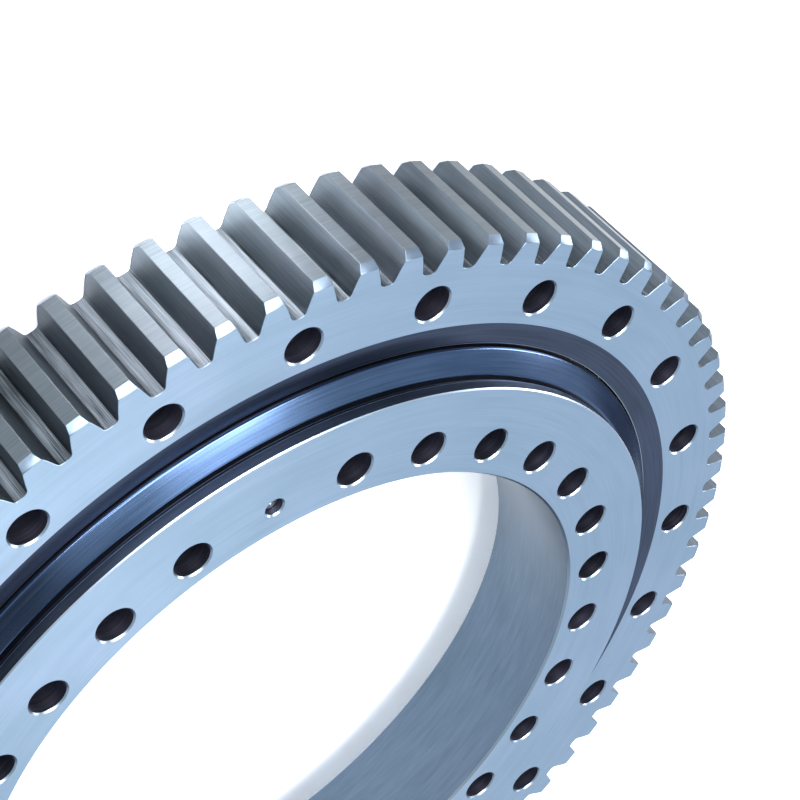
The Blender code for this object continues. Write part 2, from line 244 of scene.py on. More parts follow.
class RollingSizes(PropertyGroup):
    """Sizes of the balls, their raceways and their cage."""

    ball_radius: length("Ball radius", "Radius of a ball", 14 * MM)
    ball_circle: length("Ball circle", "Radius of the circle through the ball centres", 250 * MM)
    raceway_radius: length("Raceway radius", "Radius of the round raceway", 14.6 * MM)
    cage_inside: length("Cage inside", "Inner radius of the cage strip", 247.6 * MM)
    cage_outside: length("Cage outside", "Outer radius of the cage strip", 252.2 * MM)
    cage_end_gap: angle("Cage end gap", "Gap between two cage segments", 0.4)
    pocket_radius: length("Pocket radius", "Radius of a cage pocket", 14.4 * MM)


class SmallPartSizes(PropertyGroup):
    """Sizes of the plug, pin, nipples and seals."""

    plug_radius: length("Plug radius", "Radius of the loading plug", 15 * MM)
    plug_clearance: length("Plug clearance", "Gap round the loading plug", 0.2 * MM)
    plug_depth: length("Plug depth", "Length of the loading plug", 46 * MM)
    plug_inset: length("Plug inset", "How far the plug's face lies behind the bore", 0.3 * MM)
    hole_break: length("Hole break", "Broken edge of the radial holes", 0.6 * MM)
    pin_radius: length("Pin radius", "Radius of the taper pin's thick end", 4.6 * MM)
    nipple_clearance: length("Nipple clearance", "Gap round the thread", 0.3 * MM)
    tapped_radius: length("Tapped hole", "Radius of the plug's pulling thread", 4.3 * MM)
    nipple_hex: length("Nipple hexagon", "Half width across the flats", 5 * MM)
    nipple_thread: length("Nipple thread", "Radius of the thread", 4.5 * MM)
    nipple_head: length("Nipple head", "How far a nipple stands out", 9 * MM)
    nipple_thread_length: length("Thread length", "Length of the nipple's thread", 9 * MM)
    seal_lip: length("Seal lip", "Length of the thin wiping lip", 1.6 * MM)
    upper_seal_width: length("Upper seal width", "Width of the upper seal", 2.6 * MM)
    lower_seal_width: length("Lower seal width", "Width of the lower seal", 8.4 * MM)


class Finishes(PropertyGroup):
    """Tints and roughness of the finishes. The ring steel tints are painted light and shade: all carry a
    painted blue cast of the studio light, and each surface's tint is made lighter or darker to paint the
    light, shade or reflection it shows.
    """

    # Painted blue light: the faces' tint is the lit copy of the ring steel, with the studio light's blue
    # cast painted in.
    face_steel_painted_blue_light: colour("Face steel", "Turned faces", (0.43, 0.56, 0.70))
    # Painted shade: the bore's tint is the ring steel darkened, with the blue cast painted in.
    bore_steel_painted_shade: colour("Bore steel", "Turned bore", (0.094, 0.133, 0.182))
    # Painted reflection: the sloping shoulder's tint is the ring steel darkened to a deep blue, a painted
    # dark reflection.
    band_steel_painted_reflection: colour("Band steel", "Sloping shoulder between the rings", (0.076, 0.124, 0.222))
    # Painted reflection: the lip's tint is the ring steel darkened, a painted dark reflection with the
    # blue cast.
    lip_steel_painted_reflection: colour("Lip steel", "Sloping lip of the outer ring", (0.068, 0.088, 0.14))
    # Painted shade: the raised face's wall is the ring steel darkened.
    boss_steel_painted_shade: colour("Boss steel", "Wall of the raised face", (0.085, 0.10, 0.125))
    flank_steel: colour("Flank steel", "Cut tooth flanks", (0.096, 0.117, 0.138))
    root_steel: colour("Root steel", "Bottoms of the tooth spaces", (0.11, 0.128, 0.145))
    # Painted shade: the turned tips are the ring steel darkened; only the teeth light brightens a few.
    tip_steel_painted_shade: colour("Tip steel", "Turned tooth tips", (0.088, 0.104, 0.118))
    # Painted blue light: the tooth ends' tint carries the studio light's blue cast.
    end_steel_painted_blue_light: colour("Tooth end steel", "Chamfered tooth ends", (0.16, 0.21, 0.27))
    # Painted shade: the walls inside the holes are the ring steel darkened.
    hole_steel_painted_shade: colour("Hole steel", "Walls of the drilled holes", (0.18, 0.185, 0.25))
    # Painted shade: the walls in the gap between the rings and in the undercut are the ring steel darkened
    # almost to black.
    gap_steel_painted_shade: colour("Gap steel", "Walls in the gap between the rings", (0.045, 0.052, 0.075))
    # Painted blue light: the broken edges' tint carries the studio light's blue cast.
    chamfer_steel_painted_blue_light: colour("Chamfer steel", "Bright broken edges", (0.34, 0.41, 0.48))
    ball_steel: colour("Ball steel", "Polished balls", (0.62, 0.64, 0.66))
    plug_steel: colour("Plug steel", "Plug and pin", (0.30, 0.33, 0.35))
    nylon: colour("Cage nylon", "Moulded cage", (0.72, 0.69, 0.58))
    rubber: colour("Seal rubber", "Black seal rubber", (0.014, 0.014, 0.017))
    brass: colour("Nipple brass", "Grease nipples", (0.72, 0.55, 0.26))
    face_roughness: share("Face roughness", "Roughness of turned faces", 0.34)
    flank_roughness: share("Flank roughness", "Roughness of cut flanks", 0.52)


class StudioSettings(PropertyGroup):
    """The camera and the floor."""

    camera_azimuth: angle("Camera azimuth", "Direction of the camera from +X", -5.88)
    camera_elevation: angle("Camera elevation", "Height of the camera above the faces", 28.5)
    camera_distance: length("Camera distance", "From the middle of the upper face", 1.2276)
    aim_x: FloatProperty(name="Aim X", description="Point looked at", default=0.1587, unit="LENGTH")
    aim_y: FloatProperty(name="Aim Y", description="Point looked at", default=-0.1604, unit="LENGTH")
    camera_roll: angle("Camera roll", "Turn about the line of sight", 135.91)
    lens: FloatProperty(name="Lens", description="Focal length", default=102, min=1, unit="CAMERA")
    floor_colour: colour("Floor", "Pale floor", (0.92, 0.93, 0.94))
    floor_glow: share("Floor glow", "Light given off by the floor, which softens shadows", 0.3)


class SlewingRingSettings(PropertyGroup):
    """All settings of the bearing."""

    gear: PointerProperty(type=GearSizes)
    outer: PointerProperty(type=OuterRingSizes)
    inner: PointerProperty(type=InnerRingSizes)
    rolling: PointerProperty(type=RollingSizes)
    small: PointerProperty(type=SmallPartSizes)
    finish: PointerProperty(type=Finishes)
    studio: PointerProperty(type=StudioSettings)


# ---------------------------------------------------------------- surfaces


class Shell:
    """Gathers grids of points into one closed mesh with a finish for each grid."""

    def __init__(self):
        self.points, self.faces, self.finishes, self.slots = [], [], [], []
        self.count = 0

    def grid(self, points, finish, loop=True):
        """Adds (..., rows, columns, 3) points as quads; loop joins each last column to the first."""
        rows, columns = points.shape[-3:-1]
        batch = points.reshape(-1, rows, columns, 3)
        index = self.count + np.arange(batch.size // 3).reshape(batch.shape[:3])
        left = index if loop else index[:, :, :-1]
        right = np.roll(index, -1, axis=2) if loop else index[:, :, 1:]
        quads = np.stack([left[:, :-1], right[:, :-1], right[:, 1:], left[:, 1:]], axis=-1).reshape(-1, 4)
        if finish not in self.finishes:
            self.finishes.append(finish)
        self.slots.append(np.full(len(quads), self.finishes.index(finish)))
        self.points.append(batch.reshape(-1, 3))
        self.faces.append(quads)
        self.count += batch.size // 3

    def build(self, name):
        """Welds the grids along their shared edges, turns all faces outwards and marks the sharp edges."""
        mesh = bpy.data.meshes.new(name)
        mesh.from_pydata(np.concatenate(self.points), [], np.concatenate(self.faces))
        mesh.polygons.foreach_set("material_index", np.concatenate(self.slots).astype(np.int32))
        bm = bmesh.new()
        bm.from_mesh(mesh)
        bmesh.ops.remove_doubles(bm, verts=bm.verts, dist=MERGE_DISTANCE)
        bmesh.ops.recalc_face_normals(bm, faces=bm.faces)
        bm.to_mesh(mesh)
        bm.free()
        mesh.shade_smooth()
        mesh.set_sharp_from_angle(angle=SMOOTH_ANGLE)
        for finish in self.finishes:
            mesh.materials.append(finish)
        piece = bpy.data.objects.new(name, mesh)
        bpy.context.scene.collection.objects.link(piece)
        return piece


def place(piece, body, slot, *nodes):
    """Lets a finished piece stand for its CAD nodes and move with a body; slot is not used."""
    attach(piece, body)
    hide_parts(*nodes)


def polar(radius, turn, height):
    """Points at a radius, a turn about Z and a height, with the three arrays broadcast together."""
    radius, turn, height = np.broadcast_arrays(radius, turn, height)
    return np.stack([radius * np.cos(turn), radius * np.sin(turn), height], axis=-1)


def full_turn(columns):
    """Evenly spaced angles once round, from 0."""
    return np.arange(columns) * TURN / columns


def turned(profile, turns):
    """A profile of (radius, height) points carried round Z: row i of the grid is the circle of point i."""
    profile = np.asarray(profile, float)
    return polar(profile[:, :1], np.asarray(turns)[None], profile[:, 1:])


def softened(profile, steps=3):
    """Rounds the corners of a profile of (radius, height, cut) points; its first and last points stay.

    A corner B becomes the curve (1 - t)^2 A + 2 t (1 - t) B + t^2 C, where A and C lie on the two
    sides next to it, cut away from B.
    """
    profile = np.asarray(profile, float)
    points, cut = profile[:, :2], profile[1:-1, 2:]
    corner = points[1:-1]
    back, ahead = points[:-2] - corner, points[2:] - corner
    start = corner + back / np.linalg.norm(back, axis=1, keepdims=True) * cut
    end = corner + ahead / np.linalg.norm(ahead, axis=1, keepdims=True) * cut
    t = np.linspace(0, 1, steps + 1)[:, None]
    curve = (1 - t) ** 2 * start[:, None] + 2 * t * (1 - t) * corner[:, None] + t**2 * end[:, None]
    return np.concatenate([points[:1], curve.reshape(-1, 2), points[-1:]])


def raceway(rolling, land, side, steps=14):
    """The round raceway from high to low: a circle about the ball centre, cut where it meets the land.

    side is 1 for the outer ring and -1 for the inner ring.
    """
    half = math.acos(abs(land - rolling.ball_circle) / rolling.raceway_radius)
    sweep = np.linspace(half, -half, steps + 1)
    radius = rolling.ball_circle + side * rolling.raceway_radius * np.cos(sweep)
    return np.stack([radius, BALL_MIDDLE + rolling.raceway_radius * np.sin(sweep)], axis=-1)


def cell_border(left, right, low, high, columns, rows):
    """Border of cells that span left to right and low to high, as (cell, point) arrays.

    The point runs evenly along the high side, down the right side, back along the low side and up.
    """
    across, down = np.linspace(0, 1, columns, endpoint=False), np.linspace(0, 1, rows, endpoint=False)
    u = np.concatenate([across, np.ones(rows), 1 - across, np.zeros(rows)])
    v = np.concatenate([np.ones(columns), 1 - down, np.zeros(columns), down])
    left, right = np.atleast_1d(left)[:, None], np.atleast_1d(right)[:, None]
    return np.broadcast_arrays(left + (right - left) * u, low + (high - low) * v)


def toward(centre, border, radius):
    """The points of a circle that lie on the straight lines from its centre to the border points."""
    line = border - centre
    return centre + line / np.linalg.norm(line, axis=-1, keepdims=True) * radius


def drilled_face(low, high, circle, radii, turns, columns, rows):
    """A flat ring in equal sectors round its holes, as hole edges and sector borders of (x, y) points."""
    half = math.pi / len(turns)
    bend, reach = cell_border(-half, half, low, high, columns, rows)
    border = polar(reach, bend, 0.0)[..., :2]
    edge = toward(np.array([circle, 0.0]), border, np.asarray(radii)[:, None, None])
    cos, sin = np.cos(turns), np.sin(turns)
    spin = np.stack([np.stack([cos, sin], -1), np.stack([-sin, cos], -1)], axis=-2)
    return edge @ spin, border @ spin


def at_height(flat, height):
    """Lifts (x, y) points to a height."""
    return np.concatenate([flat, np.full(flat.shape[:-1] + (1,), height)], axis=-1)


def drilled_side(shell, low, high, height, into, circle, radii, chamfer, turns, columns, rows, finishes):
    """One flat side of a drilled ring with its countersinks; returns the edges where the hole walls start.

    Each surface point lies on the straight line from a hole's edge to its sector's border. into is 1
    where the holes go up from this side and -1 where they go down.
    """
    rim, border = drilled_face(low, high, circle, radii + chamfer, turns, columns, rows)
    hole, _ = drilled_face(low, high, circle, radii, turns, columns, rows)
    rim, hole = at_height(rim, height), at_height(hole, height + into * chamfer)
    shell.grid(np.stack([rim, at_height(border, height)], axis=1), finishes["face"])
    shell.grid(np.stack([rim, hole], axis=1), finishes["countersink"])
    return hole


def blind_end(shell, edge, axis_point, finish):
    """Closes a hole with straight lines from its edge to one point on its axis."""
    shell.grid(np.stack([edge, np.broadcast_to(axis_point, edge.shape)], axis=-3), finish)


def holed_wall(radius, left, right, low, high, middle, hole, columns, rows, steps):
    """Cylinder patches round radial holes, as (cell, step, point) of sideways distance and height.

    A point lies on the straight line from the hole's edge to the patch border, in the plane square
    to the hole's axis.
    """
    bend, height = cell_border(left, right, low, high, columns, rows)
    border = np.stack([radius * np.sin(bend), height], axis=-1)[:, None]
    edge = toward(np.array([0.0, middle]), border, hole)
    return edge + (border - edge) * np.linspace(0, 1, steps + 1)[:, None, None]


def beside(turns, along, side, height):
    """Points at a distance along radial lines, a distance to the side of them, and a height."""
    turns = np.asarray(turns, float).reshape((-1,) + (1,) * (np.ndim(side) - 1))
    along, side, height, turns = np.broadcast_arrays(along, side, height, turns)
    cos, sin = np.cos(turns), np.sin(turns)
    return np.stack([along * cos - side * sin, along * sin + side * cos, height], axis=-1)


def on_wall(turns, radius, flat, depth=0.0):
    """Carries (side, height) points onto a cylinder about Z, or depth behind it."""
    side, height = flat[..., 0], flat[..., 1]
    return beside(turns, np.sqrt(radius**2 - side**2) + depth, side, height)


# ---------------------------------------------------------------- gear ring


def involute(bend):
    """The involute function: the tangent of an angle less the angle."""
    return np.tan(bend) - bend


class ToothForm:
    """The outline of the tooth spaces, each symmetrical about its middle."""

    def __init__(self, gear):
        self.gear = gear
        self.pitch_radius = gear.module * gear.teeth / 2
        self.base_radius = self.pitch_radius * math.cos(gear.pressure_angle)
        self.half_pitch = math.pi / gear.teeth

    def half_space(self, radius):
        """Half the angle between the two involute flanks of a space at a radius."""
        at_pitch = math.pi / (2 * self.gear.teeth) - self.gear.thinning / (2 * self.pitch_radius)
        slope = np.arccos(self.base_radius / radius)
        return self.half_pitch - (at_pitch + involute(self.gear.pressure_angle) - involute(slope))

    def half_outline(self, top):
        """(radius, turn) points from the middle of a space to the middle of a tooth.

        The root is a circle, the fillet a round that meets the flank along its tangent, the flank an
        involute and the tip a circle with its corner broken.
        """
        gear, rho = self.gear, self.gear.root_fillet
        end = math.pi / 2 - math.acos(self.base_radius / (gear.root_radius + rho))
        foot = gear.root_radius + rho * (1 - math.cos(end))
        middle = foot * self.half_space(foot) - rho * math.sin(end)
        sweep = np.linspace(0, end, FILLET_POINTS)
        fillet = gear.root_radius + rho * (1 - np.cos(sweep))
        flank = np.linspace(foot, top - gear.edge_break, FLANK_POINTS + 1)[1:]
        corner = self.half_space(top) + gear.edge_break / top
        radius = np.concatenate([[gear.root_radius], fillet, flank, [top, top]])
        fillet_turn = (middle + rho * np.sin(sweep)) / fillet
        turn = np.concatenate([[0], fillet_turn, self.half_space(flank), [corner, self.half_pitch]])
        return radius, turn

    def outline(self, top, inset=0.0):
        """(x, y) points of the whole gear, drawn in by inset along the outline's normals."""
        radius, turn = self.half_outline(top)
        radius = np.concatenate([radius, radius[-2:0:-1]])
        turn = np.concatenate([turn, 2 * self.half_pitch - turn[-2:0:-1]])
        starts = self.gear.first_tooth + self.half_pitch * (1 + 2 * np.arange(self.gear.teeth))
        flat = polar(np.tile(radius, self.gear.teeth), (starts[:, None] + turn).ravel(), 0.0)[:, :2]
        run = np.roll(flat, -1, axis=0) - np.roll(flat, 1, axis=0)
        run /= np.linalg.norm(run, axis=1, keepdims=True)
        return flat - inset * np.stack([run[:, 1], -run[:, 0]], axis=-1)


def gear_rim(shell, gear, web, finishes):
    """Tooth walls and end faces: outlines at rising heights joined row by row and ruled to the web circle.

    Near each end the tip radius follows the 45 degree end chamfer, and the end outline is drawn in by
    the edge break.
    """
    form, low, high = ToothForm(gear), OUTER_LOW.z, OUTER_HIGH.z
    chamfer, edge = gear.end_chamfer, gear.edge_break
    steps = ((0, chamfer, edge), (edge, chamfer - edge, 0), (chamfer, 0, 0))
    outlines = [(rise, form.outline(gear.tip_radius - cut, inset)) for rise, cut, inset in steps]
    lower = [at_height(flat, low + rise) for rise, flat in outlines]
    upper = [at_height(flat, high - rise) for rise, flat in outlines]
    wall = np.stack(lower + upper[::-1])
    wall = wall.reshape(len(wall), gear.teeth, POINTS_PER_TOOTH, 3).swapaxes(0, 1)
    before = -TOOTH_STRIPS[0][1]
    wall = np.concatenate([np.roll(wall, 1, axis=0)[:, :, -before:], wall], axis=2)
    for part, start, end in TOOTH_STRIPS:
        strip = wall[:, :, start + before : end + before + 1]
        at_end = finishes["end" if part == "tip" else part]
        shell.grid(strip[:, 2:4], finishes[part], loop=False)
        shell.grid(np.stack([strip[:, 1:3], strip[:, 3:5]]), at_end, loop=False)
        shell.grid(np.stack([strip[:, 0:2], strip[:, 4:6]]), finishes["end"], loop=False)
    start = math.atan2(lower[0][0, 1], lower[0][0, 0]) - math.atan2(web[0, 1], web[0, 0])
    web = np.roll(web, -round(start / TURN * len(web)), axis=0)
    shell.grid(np.stack([at_height(web, low), lower[0]]), finishes["face"])
    shell.grid(np.stack([at_height(web, high), upper[0]]), finishes["face"])


def outer_ring_piece(settings, finishes):
    """The gear ring: drilled faces, toothed rim, hole walls and the turned inside with its raceway."""
    gear, outer, rolling = settings.gear, settings.outer, settings.rolling
    if gear.teeth * POINTS_PER_TOOTH % outer.bolts:
        raise ValueError("the number of bolt holes has to divide 16 times the number of teeth")
    shell, low, high = Shell(), OUTER_LOW.z, OUTER_HIGH.z
    columns = gear.teeth * POINTS_PER_TOOTH // outer.bolts
    holes = full_turn(outer.bolts)
    turns = (np.arange(outer.bolts * columns) / columns - 0.5) * TURN / outer.bolts
    radii = np.full(outer.bolts, outer.hole_radius)
    pattern = (outer.bolt_circle, radii, outer.hole_chamfer, holes, columns, OUTER_FACE_ROWS, finishes)
    face_edge = outer.lip_outside + outer.lip_round
    foot = outer.land + outer.foot_chamfer
    upper = drilled_side(shell, face_edge, outer.web_radius, high, -1, *pattern)
    lower = drilled_side(shell, foot, outer.web_radius, low, 1, *pattern)
    shell.grid(np.stack([upper, lower], axis=1), finishes["hole"])
    gear_rim(shell, gear, polar(outer.web_radius, turns, 0.0)[:, :2], finishes)
    slope = outer.lip_drop / (outer.lip_outside - outer.land)
    brim = outer.land + outer.lip_edge
    brim_height = high - outer.lip_drop + slope * outer.lip_edge
    land_top = high - outer.lip_drop - outer.lip_edge
    lip = [(face_edge, high, 0), (outer.lip_outside, high, outer.lip_round), (brim, brim_height, 0)]
    edge = [(brim, brim_height, 0), (outer.land, high - outer.lip_drop, outer.lip_edge / 2)]
    edge.append((outer.land, land_top, 0))
    groove_top = LOWER_SEAL_HIGH.z + outer.groove_play
    groove_bottom = LOWER_SEAL_LOW.z - outer.groove_play
    groove = outer.land + outer.groove_depth
    race = raceway(rolling, outer.land, 1)
    foot_wall = [race[-1], (outer.land, groove_top), (groove, groove_top), (groove, groove_bottom)]
    foot_wall += [(outer.land, groove_bottom), (outer.land, low + outer.foot_chamfer), (foot, low)]
    turned_parts = (
        (softened(lip, BLEND_STEPS), "lip"),
        (softened(edge), "edge"),
        ([(outer.land, land_top), race[0]], "land"),
        (race, "raceway"),
        (foot_wall, "land"),
    )
    for profile, part in turned_parts:
        shell.grid(turned(profile, turns), finishes[part])
    return shell.build("gear_ring_fine")


# ---------------------------------------------------------------- inner ring


def bore_wall(shell, settings, low, high, turns, columns, finishes):
    """The bore in half-pitch cells: plain cells are cylinder strips, the others run round radial holes."""
    inner, small = settings.inner, settings.small
    cells = 2 * inner.positions
    half_columns = columns // 2
    quarter = math.pi / cells
    centres = inner.plug_angle + np.arange(cells) * 2 * quarter
    nipples = np.array(NIPPLE_CELLS) % cells
    drilled = np.concatenate([[0, 1, cells - 1], nipples])
    plain = np.setdiff1d(np.arange(cells), drilled)
    across = np.linspace(-quarter, quarter, half_columns + 1)
    heights = np.linspace(high, low, BORE_ROWS + 1)[None, :, None]
    strips = polar(inner.bore_radius, centres[plain, None, None] + across, heights)
    shell.grid(strips, finishes["bore"], loop=False)
    plug_hole = small.plug_radius + small.plug_clearance
    nipple_hole = small.nipple_thread + small.nipple_clearance
    plug_end = inner.bore_radius + small.plug_depth + HOLE_ROOM
    nipple_end = inner.bore_radius + small.nipple_thread_length + HOLE_ROOM
    jobs = (
        (centres[:1], 3 * quarter, 3 * half_columns, plug_hole, plug_end),
        (centres[nipples], quarter, half_columns, nipple_hole, nipple_end),
    )
    for middles, half, count, hole, end in jobs:
        patch = (inner.bore_radius, -half, half, low, high, BALL_MIDDLE)
        flat = holed_wall(*patch, hole + small.hole_break, count, BORE_ROWS, WALL_STEPS)
        inside = holed_wall(*patch, hole, count, BORE_ROWS, 1)[:, 0]
        flat = np.broadcast_to(flat, (len(middles),) + flat.shape[1:])
        inside = np.broadcast_to(inside, (len(middles),) + inside.shape[1:])
        shell.grid(on_wall(middles, inner.bore_radius, flat), finishes["bore"])
        rim = on_wall(middles, inner.bore_radius, flat[:, 0])
        mouth = on_wall(middles, inner.bore_radius, inside, small.hole_break)
        floor = beside(middles, end, inside[..., 0], inside[..., 1])
        shell.grid(np.stack([rim, mouth], axis=1), finishes["countersink"])
        shell.grid(np.stack([mouth, floor], axis=1), finishes["hole"])
        ends = beside(middles, end, np.zeros((len(middles), 1)), BALL_MIDDLE)
        blind_end(shell, floor, ends, finishes["hole"])


def inner_ring_piece(settings, finishes):
    """The inner ring: drilled faces, a bore with radial holes, and a turned outside with its raceway."""
    inner, outer, rolling = settings.inner, settings.outer, settings.rolling
    shell, low, high = Shell(), INNER_LOW.z, INNER_HIGH.z
    columns = INNER_COLUMNS
    pitch = TURN / inner.positions
    places = inner.plug_angle + np.arange(inner.positions) * pitch
    turns = inner.plug_angle + (np.arange(inner.positions * columns) / columns - 0.5) * pitch
    radii = np.full(inner.positions, outer.hole_radius)
    radii[0] = inner.pin_hole
    pattern = (inner.bolt_circle, radii, outer.hole_chamfer, places, columns, INNER_FACE_ROWS, finishes)
    face_start = inner.bore_radius + inner.bore_chamfer
    face_end = inner.boss_radius - inner.boss_chamfer
    foot = inner.land - outer.foot_chamfer
    upper = drilled_side(shell, face_start, face_end, high, -1, *pattern)
    lower = drilled_side(shell, face_start, foot, low, 1, *pattern)
    shell.grid(np.stack([upper[1:], lower[1:]], axis=1), finishes["hole"])
    clear = settings.small.plug_radius + PIN_HOLE_ROOM
    for edge, height in ((upper[0], BALL_MIDDLE + clear), (lower[0], BALL_MIDDLE - clear)):
        floor = at_height(edge[:, :2], height)
        shell.grid(np.stack([edge, floor]), finishes["hole"])
        blind_end(shell, floor, polar(inner.bolt_circle, inner.plug_angle, height), finishes["hole"])
    chamfer = inner.bore_chamfer
    for height, inward in ((high, -chamfer), (low, chamfer)):
        ring = [(face_start, height), (inner.bore_radius, height + inward)]
        shell.grid(turned(ring, turns), finishes["edge"])
    bore_wall(shell, settings, low + chamfer, high - chamfer, turns, columns, finishes)
    shoulder_side = (inner.shoulder_inside, inner.shoulder_top)
    shoulder_edge = (inner.shoulder_outside, inner.shoulder_edge)
    groove = inner.boss_radius - inner.undercut_depth
    boss = [(face_end, high), (inner.boss_radius, high - inner.boss_chamfer)]
    wall = [boss[-1], (inner.boss_radius, inner.undercut_top + inner.undercut_lip)]
    lip = [(*wall[-1], 0), (inner.boss_radius, inner.undercut_top, inner.undercut_lip / 2)]
    lip.append((inner.boss_radius - inner.undercut_lip, inner.undercut_top, 0))
    under = [(*lip[-1][:2], 0)]
    under += [(groove, height, UNDERCUT_ROUND) for height in (inner.undercut_top, inner.shoulder_top)]
    under.append((inner.shoulder_inside - inner.shoulder_round, inner.shoulder_top, 0))
    band = [under[-1], (*shoulder_side, inner.shoulder_round), (*shoulder_edge, inner.shoulder_round)]
    band.append((inner.shoulder_outside, inner.shoulder_edge - inner.shoulder_round, 0))
    neck = inner.shoulder_outside - outer.groove_depth
    seal_foot = UPPER_SEAL_LOW.z - outer.groove_play
    race = raceway(rolling, inner.land, -1)
    throat = [band[-1][:2], (inner.shoulder_outside, inner.shoulder_bottom), (neck, inner.shoulder_bottom)]
    throat += [(neck, seal_foot), (inner.land, seal_foot), race[0]]
    turned_parts = (
        (boss, "edge"),
        (wall, "boss"),
        (softened(lip), "edge"),
        (softened(under), "land"),
        (softened(band, BLEND_STEPS), "band"),
        (throat, "land"),
        (race, "raceway"),
        ([race[-1], (inner.land, low + outer.foot_chamfer), (foot, low)], "land"),
    )
    for profile, part in turned_parts:
        shell.grid(turned(profile, turns), finishes[part])
    return shell.build("inner_ring_fine")


# ---------------------------------------------------------------- balls, cage and seals


def ball_piece(name, centre, radius, finish):
    """A sphere: radius times (sin v cos u, sin v sin u, cos v), with both poles drawn to one point."""
    shell = Shell()
    u = full_turn(BALL_COLUMNS)
    v = np.linspace(0, math.pi, BALL_COLUMNS // 2 + 1)[:, None]
    shell.grid(polar(radius * np.sin(v), u, radius * np.cos(v)) + np.array(centre), finish)
    return shell.build(name)


def cage_piece(name, first, count, rolling, low, high, finish):
    """A strip of the cage: two cylinder patches round each pocket, joined by pocket, rim and end walls."""
    shell = Shell()
    pitch = TURN / len(BALLS)
    turns = (first + np.arange(count) - 0.5) * pitch
    left, right = np.full(count, -pitch / 2), np.full(count, pitch / 2)
    left[0] += rolling.cage_end_gap / 2
    right[-1] -= rolling.cage_end_gap / 2
    sheets = []
    for radius in (rolling.cage_inside, rolling.cage_outside):
        patch = (radius, left, right, low, high, BALL_MIDDLE, rolling.pocket_radius)
        flat = holed_wall(*patch, CAGE_COLUMNS, CAGE_ROWS, WALL_STEPS)
        sheets.append(on_wall(turns, radius, flat))
    within, without = sheets
    shell.grid(within, finish)
    shell.grid(without, finish)
    shell.grid(np.stack([within[:, 0], without[:, 0]], axis=1), finish)
    borders = np.stack([within[:, -1], without[:, -1]], axis=1)
    upper = slice(0, CAGE_COLUMNS + 1)
    lower = slice(CAGE_COLUMNS + CAGE_ROWS, 2 * CAGE_COLUMNS + CAGE_ROWS + 1)
    right_end = slice(CAGE_COLUMNS, CAGE_COLUMNS + CAGE_ROWS + 1)
    left_end = np.concatenate([borders[0][:, 2 * CAGE_COLUMNS + CAGE_ROWS :], borders[0][:, :1]], axis=1)
    for wall in (borders[:, :, upper], borders[:, :, lower], borders[-1][:, right_end], left_end):
        shell.grid(wall, finish, loop=False)
    return shell.build(name)


def seal_piece(name, inside, outside, low, high, lip, outward, finish):
    """A rubber ring: a closed profile turned about Z, with a thin lip that leans on the moving ring."""
    shell = Shell()
    wide = outside - inside
    base, tip = (inside, outside) if outward else (outside, inside)
    reach = wide if outward else -wide
    middle = (low + high) / 2
    body = base + reach * SEAL_BODY_SHARE
    profile = [
        (base, low, 0),
        (body, low, 0.3 * MM),
        (body, middle, 0.3 * MM),
        (tip, high - lip / 2, 0.15 * MM),
        (tip, high, 0.15 * MM),
        (body, high - lip / 3, 0.2 * MM),
        (base, high - lip / 3, 0.2 * MM),
        (base, low, 0),
    ]
    shell.grid(turned(softened(profile), full_turn(SEAL_COLUMNS)), finish)
    return shell.build(name)


# ---------------------------------------------------------------- plug, pin and grease nipples


def spindle(turn, profile, columns, sides=0):
    """A profile of (along, width) points turned about a radial line at ball height.

    With sides, the width is divided by the cosine of the angle to the nearest flat, which gives a
    polygon; sides is an array with one entry for each profile point, 0 for round.
    """
    profile = np.asarray(profile, float)
    sweep = full_turn(columns)
    sides = np.broadcast_to(sides, len(profile))[:, None]
    wedge = TURN / np.maximum(sides, 1)
    to_flat = np.mod(sweep + wedge / 2, wedge) - wedge / 2
    width = profile[:, 1:] / np.where(sides > 0, np.cos(to_flat), 1)
    side, height = width * np.cos(sweep), BALL_MIDDLE + width * np.sin(sweep)
    return turn, profile[:, :1], side, height


def plug_piece(settings, finishes):
    """The loading plug: a disc face that follows the bore, a chamfer, its long side and a tapped hole."""
    small, inner = settings.small, settings.inner
    shell = Shell()
    edge = small.hole_break
    rim = small.plug_radius
    widths = [small.tapped_radius + edge, rim * PLUG_FACE_RING, rim - edge, rim]
    sweep = full_turn(PLUG_COLUMNS)
    width = np.array(widths)[:, None]
    flat = np.stack([width * np.cos(sweep), BALL_MIDDLE + width * np.sin(sweep)], axis=-1)
    depth = small.plug_inset + np.array([0, 0, 0, edge])[:, None]
    face = on_wall([inner.plug_angle], inner.bore_radius, flat[None], depth)[0]
    shell.grid(face, finishes["face"])
    back = inner.bore_radius + small.plug_depth
    side, height = flat[-1, :, 0], flat[-1, :, 1]
    floor = beside(inner.plug_angle, back, side, height)
    shell.grid(np.stack([face[-1], floor]), finishes["side"])
    blind_end(shell, floor, beside(inner.plug_angle, back, np.zeros(1), BALL_MIDDLE), finishes["side"])
    steps = np.arange(PLUG_THREAD_STEPS)[:, None]
    crest = small.tapped_radius - np.where(steps % 2, 0, PLUG_THREAD_DEPTH)
    along = inner.bore_radius + small.plug_inset + edge + steps * PLUG_THREAD_STEP
    side, height = crest * np.cos(sweep), BALL_MIDDLE + crest * np.sin(sweep)
    thread = beside(inner.plug_angle, along, side, height)
    shell.grid(np.concatenate([face[:1], thread]), finishes["hole"])
    tip = beside(inner.plug_angle, along[-1, 0] + PLUG_DRILL_POINT, np.zeros(1), BALL_MIDDLE)
    blind_end(shell, thread[-1], tip, finishes["hole"])
    return shell.build("loading_plug_fine")


